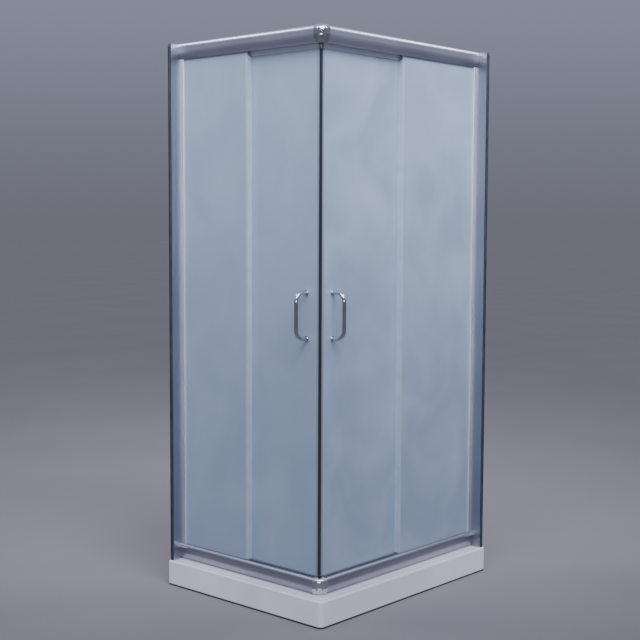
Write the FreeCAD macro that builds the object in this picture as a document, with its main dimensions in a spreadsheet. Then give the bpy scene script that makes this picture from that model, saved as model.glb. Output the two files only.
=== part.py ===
import FreeCAD, Part
import Sketcher
import math
import os
import re

# Corner shower enclosure: a raised tray, two walls of obscured glass in aluminium rails, and in each
# wall a fixed pane and a sliding door. The doors meet at the corner away from the two room walls.
# Frame: origin on the floor under the middle of the tray, +Z up. The front wall of the enclosure lies
# along -Y and the right wall along +X; the room's walls would stand along -X and +Y.
# Lengths are millimetres. "Setback" is always the distance inwards from the tray's outer face.

SIZES = {
    # tray
    "tray_width": 800,
    "tray_depth": 1000,
    "tray_height": 97,
    "tray_corner_radius": 18,
    "tray_edge_radius": 6,
    "apron_thickness": 9,
    "rim_front_width": 116,
    "rim_wall_width": 56,
    "rim_thickness": 11,
    "bowl_depth": 36,
    "bowl_corner_radius": 55,
    "bowl_edge_radius": 9,
    "bowl_foot_radius": 16,
    "floor_thickness": 12,
    "rim_groove_setback": 33,
    "rim_groove_width": 4,
    "rim_groove_depth": 1.5,
    # fall to the waste
    "waste_inset": 215,
    "fall_radius": 120,
    "fall_depth": 3,
    "fall_edge_radius": 2.4,
    # waste
    "waste_flange_radius": 57,
    "waste_flange_thickness": 3,
    "waste_barrel_radius": 43,
    "waste_hole_clearance": 1,
    "waste_wall": 3,
    "waste_barrel_drop": 18,
    "waste_cone_drop": 9,
    "waste_outlet_radius": 20,
    "waste_outlet_wall": 2.5,
    "waste_floor_gap": 2,
    "waste_seal_thickness": 2,
    "cover_radius": 54,
    "cover_rise": 6,
    "cover_thickness": 2,
    "cover_gap": 4,
    "cover_leg_radius": 3,
    "cover_leg_circle": 36,
    "cover_leg_reach": 22,
    "cover_rest_gap": 0.3,
    "cover_bead_inset": 3,
    "cover_bead_width": 6,
    # legs
    "leg_inset": 105,
    "leg_bolt_radius": 6,
    "leg_pad_radius": 25,
    "leg_pad_height": 12,
    "leg_nut_radius": 10,
    "leg_nut_height": 8,
    # rail extrusions
    "total_height": 2100,
    "rail_setback": 57,
    "rail_bulge": 12,
    "rail_back": 106,
    "rail_height": 60,
    "belly_height": 30,
    "nose_radius": 16,
    "rail_wall": 2,
    "rail_end_setback": 85,
    # screw ports and chambers of the rails
    "port_radius": 1.9,
    "port_boss": 12,
    "port_edge": 6,
    "upper_port_drop": 11,
    "lower_port_rise": 9,
    "nose_wall": 3,
    "nose_chamber_height": 12,
    # track for the wheels
    "track_front": 73,
    "track_lip_rise": 6,
    "track_lip_thickness": 2.7,
    "track_height": 28,
    "hanger_gap_front": 85,
    "hanger_gap_width": 8,
    # glass
    "glass_thickness": 6,
    "fixed_glass_setback": 64,
    "door_glass_setback": 86,
    "slot_clearance": 0.3,
    "slot_depth": 18,
    "slot_headroom": 2,
    "door_top_drop": 6,
    "door_bottom_sink": 12,
    "door_lead_setback": 93,
    # how far short of each wall's middle the fixed pane ends, and how far the door laps over it
    "front_fixed_edge_gap": 24,
    "right_fixed_edge_gap": 14,
    "front_overlap": 68,
    "right_overlap": 82,
    # wall profile and its seal
    "channel_front": 10,
    "channel_reveal": 1,
    "channel_height_drop": 4,
    "post_width": 16,
    "channel_wall": 2,
    "post_clearance": 0.3,
    "wall_hole_radius": 3,
    "wall_hole_setback": 76,
    "wall_hole_end": 200,
    "wall_hole_pitch": 500,
    "wall_seal_width": 13,
    "wall_seal_thickness": 4,
    "wall_seal_top_drop": 15,
    "wall_seal_lip": 2,
    "bead_width": 16,
    "bead_front": 57,
    "bead_back_wall": 4,
    "bead_glass_start": 4,
    "bead_round": 3,
    # edge seals
    "seal_wall": 1.2,
    "seal_grip": 9,
    "seal_cap": 3,
    "seal_tip_gap": 1,
    "seal_fin": 1.6,
    "magnet_gap": 0.35,
    "rail_gap": 2,
    # door top profile, hangers and wheels
    "top_profile_wall": 3,
    "top_profile_height": 12,
    "top_profile_web": 3,
    "top_lip_thickness": 1.2,
    "top_lip_gap": 1,
    "top_profile_lead_end": 4,
    "top_profile_rear_end": 1,
    "hanger_inset": 60,
    "hanger_length": 48,
    "hanger_base_side": 0.5,
    "hanger_base_thickness": 4,
    "hanger_plate_length": 24,
    "hanger_plate_thickness": 5,
    "wheel_radius": 12,
    "wheel_hub_radius": 6,
    "wheel_rim_width": 6.5,
    "wheel_groove_depth": 1.2,
    "wheel_crown": 0.8,
    "wheel_hub_gap": 0.4,
    "wheel_side_gap": 2.5,
    "wheel_lift": 0.3,
    "axle_radius": 3,
    "axle_clearance": 0.05,
    "axle_overhang": 1,
    "base_screw_offset": 18,
    "base_screw_radius": 2,
    "base_screw_clearance": 0.1,
    "base_screw_head_radius": 3.6,
    "base_screw_head_height": 2.2,
    # guide shoes in the bottom rail
    "guide_groove_front": 83.5,
    "guide_groove_width": 11,
    "guide_groove_depth": 30,
    "guide_side_gap": 0.5,
    "guide_bottom_gap": 3,
    "guide_length": 40,
    "guide_inset": 40,
    "guide_sink": 1,
    "guide_nose": 3,
    # door stops, and what stays between an open door's handle and the fixed pane
    "stop_length": 20,
    "stop_height": 24,
    "stop_side_gap": 0.5,
    "stop_gap": 0.5,
    "stop_recess": 3,
    "front_open_gap": 14,
    "right_open_gap": 19,
    # handles
    "handle_inset": 57,
    "handle_height": 1091,
    "handle_centres": 165,
    "handle_reach": 56,
    "handle_tube_radius": 7.5,
    "handle_bend_radius": 34,
    "handle_collar_radius": 10,
    "handle_collar_height": 3.5,
    "handle_stud_radius": 3,
    "handle_stud_depth": 12,
    "handle_stud_clearance": 0.1,
    "handle_stud_end_gap": 1,
    "handle_glass_hole": 5,
    "handle_cap_radius": 11,
    "handle_cap_height": 7,
    "handle_cap_round": 2.5,
    # screws through the wall profile
    "side_screw_radius": 1.6,
    "side_screw_clearance": 0.1,
    "side_screw_head_radius": 3.4,
    "side_screw_head_height": 2,
    "side_screw_length": 12,
    "side_screw_end": 260,
    "end_screw_length": 22,
    "end_screw_head_radius": 3.4,
    "end_screw_head_height": 2.4,
    "end_screw_radius": 1.9,
    "end_screw_access_radius": 5,
    # corner joints and caps
    "spigot_front": 70,
    "spigot_back": 84,
    "spigot_length": 38,
    "spigot_side_gap": 1,
    "cap_thickness": 3,
    "cap_half_angle": 43,
    "cap_top_reach": 20,
    "cap_foot_half": 12,
    "cap_shoulder_half": 28,
    "cap_top_taper_rise": 26,
    "cap_bottom_taper_drop": 13,
    "cap_flute_radius": 5,
    "cap_flute_spread": 12,
    "cap_flute_depth": 1.6,
    "cap_scallop_radius": 14,
    "cap_scallop_depth": 2,
    "cap_button_radius": 7,
    "cap_button_rise": 39,
    "cap_button_root": 1.5,
    "cap_button_height": 3.5,
    "cap_button_round": 3,
    # cuts run past the material by this much
    "overrun": 5,
}

# Sizes that follow from the ones above, used by name in later formulas
DERIVED = {
    "rail_face": "(rail_setback - rail_bulge)",
    "belly_radius": "((belly_height^2 + rail_bulge^2) / (2 * rail_bulge))",
    "top_rail_base": "(total_height - rail_height)",
    "bottom_rail_top": "(tray_height + rail_height)",
    "lip_bottom": "(top_rail_base + track_lip_rise)",
    "lip_top": "(lip_bottom + track_lip_thickness)",
    "track_ceiling": "(lip_top + track_height)",
    "slot_front": "(fixed_glass_setback - slot_clearance)",
    "slot_back": "(fixed_glass_setback + glass_thickness + slot_clearance)",
    "fixed_glass_back": "(fixed_glass_setback + glass_thickness)",
    "door_glass_back": "(door_glass_setback + glass_thickness)",
    "door_glass_middle": "(door_glass_setback + glass_thickness / 2)",
    "door_glass_top": "(top_rail_base - door_top_drop)",
    "door_glass_base": "(bottom_rail_top - door_bottom_sink)",
    "top_profile_top": "(door_glass_top + top_profile_web)",
    "top_profile_front": "(door_glass_setback - top_profile_wall)",
    "top_profile_back": "(door_glass_back + top_profile_wall)",
    "top_profile_base": "(top_profile_top - top_profile_height)",
    "edge_seal_height": "(top_profile_base - bottom_rail_top - 2 * rail_gap)",
    "hanger_base_top": "(top_profile_top + hanger_base_thickness)",
    "axle_height": "(lip_top + wheel_lift + wheel_radius)",
    "wheel_front": "(track_front + wheel_side_gap)",
    "wheel_reach": "(door_glass_middle - wheel_front)",
    "channel_back": "(rail_back + channel_wall)",
    "channel_mouth": "(rail_face + channel_reveal)",
    "channel_top": "(total_height - channel_height_drop)",
    "bowl_floor": "(tray_height - bowl_depth)",
    "fall_floor": "(bowl_floor - fall_depth)",
    "floor_underside": "(bowl_floor - floor_thickness)",
    "barrel_base": "(floor_underside - waste_barrel_drop)",
    "cone_base": "(barrel_base - waste_cone_drop)",
    "handle_low": "(handle_height - handle_centres / 2)",
    "handle_high": "(handle_height + handle_centres / 2)",
    "handle_axis_setback": "(door_glass_setback - handle_reach)",
}

UP = FreeCAD.Vector(0, 0, 1)
ALONG = FreeCAD.Vector(1, 0, 0)
INWARD = FreeCAD.Vector(0, 1, 0)

doc = FreeCAD.newDocument("ShowerEnclosure")
sheet = doc.addObject("Spreadsheet::Sheet", "Dims")
for row, (alias, length) in enumerate(SIZES.items(), start=1):
    sheet.set(f"A{row}", alias)
    sheet.set(f"B{row}", str(length))
    sheet.setAlias(f"B{row}", alias)
doc.recompute()

subparts = []


# Formulas: a word is a size unless a bracket follows it, and a derived word is written out in full

WORD = r"\b[a-z][a-z_]+\b(?!\()"


def formula(text):
    while True:
        opened = re.sub(WORD, lambda word: DERIVED.get(word.group(), word.group()), text)
        if opened == text:
            break
        text = opened
    return re.sub(WORD, lambda word: "Dims." + word.group(), text)


def number(text):
    return float(sheet.evalExpression(formula(text)))


def bind(thing, prop, text):
    thing.setExpression(prop, formula(text))


def place(thing, along="0", inward="0", upward="0"):
    for axis, text in (("x", along), ("y", inward), ("z", upward)):
        bind(thing, "Placement.Base." + axis, text)
    return thing


# Each wall of the enclosure is drawn in a frame of its own: first the distance along the wall, then the
# setback, then the height. In the front wall the first distance starts at the room wall, in the right
# wall at the tray's corner, so that turning the frame is all that placing a piece takes.

class Wall:
    def __init__(self, prefix, length, from_room_wall, turn):
        self.prefix = prefix
        self.length = length
        self.from_room_wall = from_room_wall
        self.turn = turn
        self.fixed_reach = f"({length} / 2 - {prefix}fixed_edge_gap)"
        self.door_width = f"({length} - door_lead_setback - {self.fixed_reach} + {prefix}overlap)"
        self.door_rear = f"(door_lead_setback + {self.door_width})"
        self.travel = (f"({length} - {self.fixed_reach} - door_lead_setback - handle_inset"
                       f" - handle_collar_radius - {prefix}open_gap)")

    def from_corner(self, text):
        return f"({self.length} - ({text}))" if self.from_room_wall else f"({text})"

    def from_wall(self, text):
        return f"({text})" if self.from_room_wall else f"({self.length} - ({text}))"

    def span(self, near_corner, far_corner):
        start = far_corner if self.from_room_wall else near_corner
        return self.from_corner(start), f"(({far_corner}) - ({near_corner}))"

    def to_corner(self, text):
        return f"({self.length} - ({text}))"

    def plan(self, points, measure):
        drawn = []
        for along, inward, *radius in points:
            turned = [flip(radius[0])] if radius and self.from_room_wall == (measure == "corner") else radius
            where = self.from_corner(along) if measure == "corner" else self.from_wall(along)
            drawn.append((where, inward, *turned))
        return drawn

    def stand(self, thing):
        thing.Placement.Rotation = FreeCAD.Rotation(UP, self.turn)
        return place(thing, "-tray_width / 2" if self.from_room_wall else "tray_width / 2", "-tray_depth / 2")

    def seat(self, thing, name):
        return keep(self.stand(thing), self.prefix + name)


FRONT = Wall("front_", "tray_width", True, 0)
RIGHT = Wall("right_", "tray_depth", False, 90)


def flip(radius):
    return radius[1:] if radius.startswith("-") else "-" + radius


def keep(thing, label):
    thing.Label = label
    subparts.append(thing)
    return thing


# Sketched pieces

def new_body(name):
    return doc.addObject("PartDesign::Body", name)


def new_sketch(body, name, role, loops, offset="0"):
    sketch = body.newObject("Sketcher::SketchObject", name)
    plane = [datum for datum in body.Origin.OriginFeatures if datum.Role == role][0]
    sketch.AttachmentSupport = (plane, [""])
    sketch.MapMode = "FlatFace"
    bind(sketch, "AttachmentOffset.Base.z", offset)
    for loop in loops:
        if loop[0] == "circle":
            draw_circle(sketch, *loop[1:])
        else:
            draw_loop(sketch, loop)
    return sketch


def pin_point(sketch, index, corner, across, upward):
    for kind, axis, text in (("DistanceX", -2, across), ("DistanceY", -1, upward)):
        size = number(text)
        if abs(size) < 1e-9:
            sketch.addConstraint(Sketcher.Constraint("PointOnObject", index, corner, axis))
        else:
            row = sketch.addConstraint(Sketcher.Constraint(kind, -1, 1, index, corner, size))
            bind(sketch, f"Constraints[{row}]", text)


def draw_circle(sketch, across, upward, radius):
    centre = FreeCAD.Vector(number(across), number(upward), 0)
    index = sketch.addGeometry(Part.Circle(centre, UP, number(radius)), False)
    pin_point(sketch, index, 3, across, upward)
    row = sketch.addConstraint(Sketcher.Constraint("Radius", index, number(radius)))
    bind(sketch, f"Constraints[{row}]", radius)


# A corner of a loop is (across, upward) or (across, upward, radius): with a radius the side that leaves
# it is an arc, which turns left, or right where the radius has a minus sign

def draw_loop(sketch, loop, closed=True):
    spots = [FreeCAD.Vector(number(corner[0]), number(corner[1]), 0) for corner in loop]
    sides = len(loop) if closed else len(loop) - 1
    ends = []
    for step in range(sides):
        start, finish = spots[step], spots[(step + 1) % len(loop)]
        if len(loop[step]) == 3:
            turns_right = loop[step][2].startswith("-")
            text = loop[step][2].lstrip("-")
            radius = number(text)
            chord = finish - start
            middle = (start + finish) / 2
            height = max(radius ** 2 - chord.Length ** 2 / 4, 0) ** 0.5
            left = FreeCAD.Vector(-chord.y, chord.x, 0).normalize()
            centre = middle - left * height if turns_right else middle + left * height
            first, last = (finish, start) if turns_right else (start, finish)
            angles = [math.atan2(spot.y - centre.y, spot.x - centre.x) for spot in (first, last)]
            index = sketch.addGeometry(Part.ArcOfCircle(Part.Circle(centre, UP, radius), *angles), False)
            ends.append((index, 2, 1) if turns_right else (index, 1, 2))
            row = sketch.addConstraint(Sketcher.Constraint("Radius", index, radius))
            bind(sketch, f"Constraints[{row}]", text)
        else:
            index = sketch.addGeometry(Part.LineSegment(start, finish), False)
            ends.append((index, 1, 2))
    for step in range(sides):
        index, begin, end = ends[step]
        pin_point(sketch, index, begin, loop[step][0], loop[step][1])
        if closed or step < sides - 1:
            following = ends[(step + 1) % sides]
            sketch.addConstraint(Sketcher.Constraint("Coincident", index, end, following[0], following[1]))
    if not closed:
        pin_point(sketch, ends[-1][0], ends[-1][2], loop[-1][0], loop[-1][1])


def pad(body, name, sketch, length, reverse=False):
    feature = body.newObject("PartDesign::Pad", name)
    feature.Profile = sketch
    feature.Reversed = reverse
    bind(feature, "Length", length)
    return feature


def pocket(body, name, sketch, length=None, reverse=False):
    feature = body.newObject("PartDesign::Pocket", name)
    feature.Profile = sketch
    feature.Reversed = reverse
    if length is None:
        feature.Type = "ThroughAll"
        feature.Midplane = True
    else:
        bind(feature, "Length", length)
    return feature


def upright(wall, name, loops, base, height, measure="corner"):
    body = new_body(wall.prefix + name + "_body")
    drawn = [wall.plan(loop, measure) for loop in loops]
    pad(body, name + "_pad", new_sketch(body, name + "_plan", "XY_Plane", drawn, base), height)
    return body


def extrusion(wall, name, loops, near_corner, far_corner):
    body = new_body(wall.prefix + name + "_body")
    start, length = wall.span(near_corner, far_corner)
    section = new_sketch(body, name + "_section", "YZ_Plane", loops, start)
    pad(body, name + "_pad", section, length)
    return body


def crosswise(wall, name, loops, front, back):
    body = new_body(wall.prefix + name + "_body")
    drawn = []
    for loop in loops:
        if loop[0] == "circle":
            drawn.append(("circle", wall.from_corner(loop[1]), *loop[2:]))
        else:
            drawn.append([(wall.from_corner(along), upward) for along, upward in loop])
    sketch = new_sketch(body, name + "_side", "XZ_Plane", drawn, f"-({front})")
    pad(body, name + "_pad", sketch, f"({back}) - ({front})", reverse=True)
    return body


def rectangle(low_across, low_upward, high_across, high_upward):
    return [(low_across, low_upward), (high_across, low_upward),
            (high_across, high_upward), (low_across, high_upward)]


def round_edges(body, name, radius, wanted):
    doc.recompute()
    base = body.Tip
    edges = [f"Edge{place_in_list}" for place_in_list, edge in enumerate(base.Shape.Edges, start=1)
             if wanted(edge)]
    feature = body.newObject("PartDesign::Fillet", name)
    feature.Base = (base, edges)
    bind(feature, "Radius", radius)
    return feature


# Plain solids and what joins them

def block(wall, near_corner, far_corner, front, back, base, top):
    box = doc.addObject("Part::Box", "block")
    start, length = wall.span(near_corner, far_corner)
    bind(box, "Length", length)
    bind(box, "Width", f"({back}) - ({front})")
    bind(box, "Height", f"({top}) - ({base})")
    return place(box, start, front, base)


def rod(radius, length, along, inward, upward, axis=UP):
    cylinder = doc.addObject("Part::Cylinder", "rod")
    cylinder.Placement.Rotation = FreeCAD.Rotation(UP, axis)
    bind(cylinder, "Radius", radius)
    bind(cylinder, "Height", length)
    return place(cylinder, along, inward, upward)


def hexagon(radius, length, along, inward, upward):
    prism = doc.addObject("Part::Prism", "hexagon")
    prism.Polygon = 6
    bind(prism, "Circumradius", radius)
    bind(prism, "Height", length)
    return place(prism, along, inward, upward)


def fuse(pieces):
    joined = doc.addObject("Part::MultiFuse", "joined")
    joined.Shapes = pieces
    joined.Refine = True
    return joined


def cut(base, tools):
    result = doc.addObject("Part::Cut", "cut")
    result.Base = base
    result.Tool = tools[0] if len(tools) == 1 else fuse(tools)
    return result


# The tray: an apron, a rim that carries the rails, and a sunken floor that falls to the waste

def at_height(edge, height):
    box = edge.BoundBox
    return abs(box.ZMin - height) < 1e-4 and abs(box.ZMax - height) < 1e-4


def make_tray():
    body = new_body("tray")
    outline = [("0", "0"), ("tray_width - tray_corner_radius", "0", "tray_corner_radius"),
               ("tray_width", "tray_corner_radius"), ("tray_width", "tray_depth"), ("0", "tray_depth")]
    pad(body, "tray_block", new_sketch(body, "tray_outline", "XY_Plane", [outline]), "tray_height")
    height = number("tray_height")
    width = number("tray_width")
    round_edges(body, "tray_edge", "tray_edge_radius", lambda edge: at_height(edge, height)
                and (edge.BoundBox.YMax < number("tray_depth") / 2 and edge.BoundBox.YMin < 1e-4
                     or edge.BoundBox.XMin > width / 2 and edge.BoundBox.XMax > width - 1e-4
                     and edge.BoundBox.YMin < number("tray_depth") - 1e-4))
    low_x, high_x = "rim_wall_width", "(tray_width - rim_front_width)"
    low_y, high_y = "rim_front_width", "(tray_depth - rim_wall_width)"
    turn = "bowl_corner_radius"
    bowl = [(f"{low_x} + {turn}", low_y), (f"{high_x} - {turn}", low_y, turn),
            (high_x, f"{low_y} + {turn}"), (high_x, f"{high_y} - {turn}", turn),
            (f"{high_x} - {turn}", high_y), (f"{low_x} + {turn}", high_y, turn),
            (low_x, f"{high_y} - {turn}"), (low_x, f"{low_y} + {turn}", turn)]
    pocket(body, "bowl", new_sketch(body, "bowl_outline", "XY_Plane", [bowl], "tray_height"), "bowl_depth")
    bowl_floor = number("bowl_floor")
    round_edges(body, "bowl_foot", "bowl_foot_radius", lambda edge: at_height(edge, bowl_floor))
    inside = number("rim_wall_width") - 1e-4
    round_edges(body, "bowl_lip", "bowl_edge_radius", lambda edge: at_height(edge, height)
                and edge.BoundBox.XMin > inside and edge.BoundBox.YMin > inside
                and edge.BoundBox.XMax < width - inside
                and edge.BoundBox.YMax < number("tray_depth") - inside)
    step, band = "rim_groove_setback", "(rim_groove_setback + rim_groove_width)"
    groove = [("0", step), (f"tray_width - {step}", step), (f"tray_width - {step}", "tray_depth"),
              (f"tray_width - {band}", "tray_depth"), (f"tray_width - {band}", band), ("0", band)]
    pocket(body, "rim_groove", new_sketch(body, "rim_groove_outline", "XY_Plane", [groove], "tray_height"),
           "rim_groove_depth")
    wall = "apron_thickness"
    hollow = rectangle(wall, wall, f"tray_width - {wall}", f"tray_depth - {wall}")
    pocket(body, "underside", new_sketch(body, "underside_outline", "XY_Plane", [hollow]),
           "floor_underside", reverse=True)
    ring = rectangle(f"{low_x} - {wall}", f"{low_y} - {wall}", f"{high_x} + {wall}", f"{high_y} + {wall}")
    pocket(body, "rim_hollow", new_sketch(body, "rim_hollow_outline", "XY_Plane", [hollow, ring]),
           "tray_height - rim_thickness", reverse=True)
    add_fall(body)
    place(body, "-tray_width / 2", "-tray_depth / 2")
    keep(body, "shower_tray")


def add_fall(body):
    spot = ("waste_inset", "tray_depth - waste_inset")
    for name, radius, depth in (("fall", "fall_radius", "fall_depth"),
                                ("waste_hole", "waste_barrel_radius + waste_hole_clearance",
                                 "floor_thickness")):
        circle = ("circle", *spot, radius)
        pocket(body, name, new_sketch(body, name + "_outline", "XY_Plane", [circle], "bowl_floor"), depth)
    edge_height = number("bowl_floor")
    reach = number("fall_radius")
    round_edges(body, "fall_edge", "fall_edge_radius", lambda edge: at_height(edge, edge_height)
                and abs(edge.BoundBox.XLength - 2 * reach) < 1e-3)


def make_legs():
    low, high_x, high_y = "leg_inset", "(tray_width - leg_inset)", "(tray_depth - leg_inset)"
    spots = [(low, low), (high_x, low), (high_x, high_y), (low, high_y), ("tray_width / 2", "tray_depth / 2")]
    bolts = []
    pads = []
    for across, inward in spots:
        nut_base = "floor_underside - leg_nut_height"
        shank = rod("leg_bolt_radius", "floor_underside - leg_pad_height / 2", across, inward,
                    "leg_pad_height / 2")
        nut = hexagon("leg_nut_radius", "leg_nut_height", across, inward, nut_base)
        bolts.append(fuse([shank, nut]))
        foot = rod("leg_pad_radius", "leg_pad_height", across, inward, "0")
        socket = rod("leg_bolt_radius", "leg_pad_height", across, inward, "leg_pad_height / 2")
        pads.append(cut(foot, [socket]))
    for pieces, label in ((bolts, "tray_leg_bolts"), (pads, "tray_leg_pads")):
        keep(place(fuse(pieces), "-tray_width / 2", "-tray_depth / 2"), label)


# A turned piece: its profile lies beside a vertical axis and is spun about it

def turned(name, loops):
    body = new_body(name)
    sketch = new_sketch(body, name + "_profile", "XZ_Plane", loops)
    feature = body.newObject("PartDesign::Revolution", name + "_turn")
    feature.Profile = sketch
    feature.ReferenceAxis = (sketch, ["V_Axis"])
    feature.Angle = 360
    return body


def at_waste(thing, label):
    place(thing, "waste_inset - tray_width / 2", "tray_depth / 2 - waste_inset", "0")
    return keep(thing, label)


def make_waste():
    seat = "fall_floor"
    flange_base = f"{seat} + waste_seal_thickness"
    flange_top = f"{flange_base} + waste_flange_thickness"
    bore = "(waste_barrel_radius - waste_wall)"
    outlet_bore = "(waste_outlet_radius - waste_outlet_wall)"
    shell = [(bore, flange_top), (bore, "barrel_base + waste_wall"), (outlet_bore, "cone_base"),
             (outlet_bore, "waste_floor_gap"), ("waste_outlet_radius", "waste_floor_gap"),
             ("waste_outlet_radius", "cone_base"), ("waste_barrel_radius", "barrel_base"),
             ("waste_barrel_radius", flange_base), ("waste_flange_radius", flange_base),
             ("waste_flange_radius", flange_top)]
    at_waste(turned("waste", [shell]), "waste_body")
    ring = rectangle("waste_barrel_radius + waste_hole_clearance", seat, "waste_flange_radius", flange_base)
    at_waste(turned("seal_ring", [ring]), "waste_seal")
    rest = f"({flange_top} + cover_gap)"
    crown = f"({rest} + cover_rise)"
    skin = "cover_thickness"
    dome_radius = "((cover_radius^2 + cover_rise^2) / (2 * cover_rise))"
    dome = [("0", rest), ("cover_radius", rest), ("cover_radius", f"{rest} + {skin}",
            f"{dome_radius}"), ("0", f"{crown} + {skin}")]
    body = turned("cover", [dome])
    leg = ("circle", "cover_leg_circle", "0", "cover_leg_radius")
    legs = pad(body, "cover_leg", new_sketch(body, "cover_leg_plan", "XY_Plane", [leg], rest),
               "cover_leg_reach", reverse=True)
    doc.recompute()
    pattern = body.newObject("PartDesign::PolarPattern", "cover_legs")
    pattern.Originals = [legs]
    pattern.Axis = ([datum for datum in body.Origin.OriginFeatures if datum.Role == "Z_Axis"][0], [""])
    pattern.Angle = 360
    pattern.Occurrences = 3
    body.Tip = pattern
    bead_start = f"({bore} + cover_bead_inset)"
    bead = rectangle(bead_start, f"{flange_top} + cover_rest_gap", f"{bead_start} + cover_bead_width", rest)
    foot = body.newObject("PartDesign::Revolution", "cover_foot")
    foot.Profile = new_sketch(body, "cover_foot_profile", "XZ_Plane", [bead])
    foot.ReferenceAxis = (foot.Profile[0], ["V_Axis"])
    foot.Angle = 360
    at_waste(body, "waste_cover")


# Rails: the two extrusions share one outer face, a belly that swells out to a rounded nose

def rail_nose(base, top):
    return [("rail_setback", base, "-belly_radius"), ("rail_face", f"{base} + belly_height"),
            ("rail_face", f"{top} - nose_radius", "-nose_radius"), ("rail_face + nose_radius", top)]


def rail_mitre(wall, body, name):
    edge = "rail_end_setback"
    far = "(rail_back + overrun)"
    wedge = wall.plan([(edge, edge), (far, far), (edge, far)], "corner")
    pocket(body, name + "_mitre", new_sketch(body, name + "_mitre_plan", "XY_Plane", [wedge]))


def make_top_rail(wall):
    base, top = "top_rail_base", "total_height"
    inner = "(rail_back - rail_wall)"
    gap_back = "(hanger_gap_front + hanger_gap_width)"
    slot_top = "(top_rail_base + slot_depth)"
    outline = rail_nose(base, top) + [
        ("rail_back", top), ("rail_back", base), (inner, base), (inner, "lip_bottom"),
        (gap_back, "lip_bottom"), (gap_back, "lip_top"), (inner, "lip_top"), (inner, "track_ceiling"),
        ("track_front", "track_ceiling"), ("track_front", "lip_top"), ("hanger_gap_front", "lip_top"),
        ("hanger_gap_front", "lip_bottom"), ("slot_back", "lip_bottom"), ("slot_back", slot_top),
        ("slot_front", slot_top), ("slot_front", base)]
    chamber = rectangle("rail_face + nose_radius + port_edge", "track_ceiling + rail_wall",
                        "rail_back - port_boss", f"{top} - rail_wall")
    nose_roof = f"({top} - nose_radius)"
    nose = rectangle("rail_face + nose_wall", f"{nose_roof} - nose_chamber_height",
                     "slot_front - rail_wall", nose_roof)
    ports = [("circle", "rail_back - port_edge", f"{top} - upper_port_drop", "port_radius"),
             ("circle", "fixed_glass_setback + glass_thickness / 2",
              f"{slot_top} + upper_port_drop", "port_radius")]
    body = extrusion(wall, "top_rail", [outline, chamber, nose] + ports,
                     "rail_end_setback", wall.to_corner("post_width"))
    rail_mitre(wall, body, "top_rail")
    wall.seat(body, "top_rail")


def make_bottom_rail(wall):
    base, top = "tray_height", "bottom_rail_top"
    slot_floor = f"({top} - slot_depth)"
    groove_back = "(guide_groove_front + guide_groove_width)"
    groove_floor = f"({top} - guide_groove_depth)"
    outline = rail_nose(base, top) + [
        ("slot_front", top), ("slot_front", slot_floor), ("slot_back", slot_floor), ("slot_back", top),
        ("guide_groove_front", top), ("guide_groove_front", groove_floor), (groove_back, groove_floor),
        (groove_back, top), ("rail_back", top), ("rail_back", base)]
    chamber = rectangle("rail_setback + nose_wall", f"{base} + rail_wall", "rail_back - port_boss",
                        f"{groove_floor} - rail_wall")
    nose_roof = f"({top} - nose_radius)"
    nose = rectangle("rail_face + nose_wall", f"{nose_roof} - nose_chamber_height",
                     "slot_front - rail_wall", nose_roof)
    middle = "(slot_back + guide_groove_front) / 2"
    ports = [("circle", "rail_back - port_edge", f"{base} + lower_port_rise", "port_radius"),
             ("circle", middle, f"{slot_floor} + port_edge / 2", "port_radius")]
    body = extrusion(wall, "bottom_rail", [outline, chamber, nose] + ports,
                     "rail_end_setback", wall.to_corner("post_width"))
    rail_mitre(wall, body, "bottom_rail")
    wall.seat(body, "bottom_rail")


# Wall profile: a channel screwed to the room's wall, the post that slides into it, its screws and seal

def wall_hole_heights():
    return ["tray_height + wall_hole_end", "tray_height + wall_hole_end + wall_hole_pitch",
            "channel_top - wall_hole_end - wall_hole_pitch", "channel_top - wall_hole_end"]


def side_screw_heights():
    return ["tray_height + side_screw_end", "(tray_height + channel_top) / 2", "channel_top - side_screw_end"]


def make_wall_channel(wall):
    skin, mouth = "channel_wall", "channel_mouth"
    section = [("0", "channel_front"), ("post_width", "channel_front"), ("post_width", mouth),
               (skin, mouth), (skin, "rail_back"), ("post_width", "rail_back"),
               ("post_width", "channel_back"), ("0", "channel_back")]
    hollow = rectangle(skin, f"channel_front + {skin}", f"post_width - {skin}", f"{mouth} - {skin}")
    body = upright(wall, "wall_channel", [section, hollow], "tray_height",
                   "channel_top - tray_height", "wall")
    drilled = [rod("wall_hole_radius", f"4 * {skin}", f"{wall.from_wall('0')} - 2 * {skin}",
                   "wall_hole_setback", height, ALONG) for height in wall_hole_heights()]
    drilled += [rod("side_screw_radius + side_screw_clearance", "channel_wall + 2 * overrun",
                    wall.from_wall("post_width / 2"), "rail_back - overrun", height, INWARD)
                for height in side_screw_heights()]
    wall.seat(cut(body, drilled), "wall_channel")


def make_wall_post(wall):
    gap, skin = "post_clearance", "channel_wall"
    low, high = f"channel_wall + {gap}", "post_width"
    front, back = f"channel_mouth + {gap}", f"rail_back - {gap}"
    section = rectangle(low, front, high, back)
    hollow = rectangle(f"{low} + {skin}", f"{front} + {skin}", f"{high} - {skin}", f"{back} - {skin}")
    body = upright(wall, "wall_post", [section, hollow], "tray_height", "channel_top - tray_height", "wall")
    drilled = [rod("side_screw_radius", "2 * overrun", wall.from_wall("post_width / 2"),
                   "rail_back - overrun", height, INWARD) for height in side_screw_heights()]
    for inward, height in end_screw_places():
        drilled.append(end_rod(wall, "end_screw_radius + side_screw_clearance", f"{skin} + 2 * overrun",
                               f"{high} - {skin} - overrun", inward, height))
        drilled.append(end_rod(wall, "end_screw_access_radius", f"{gap} + 2 * {skin}", "channel_wall",
                               inward, height))
    wall.seat(cut(body, drilled), "wall_post")


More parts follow.
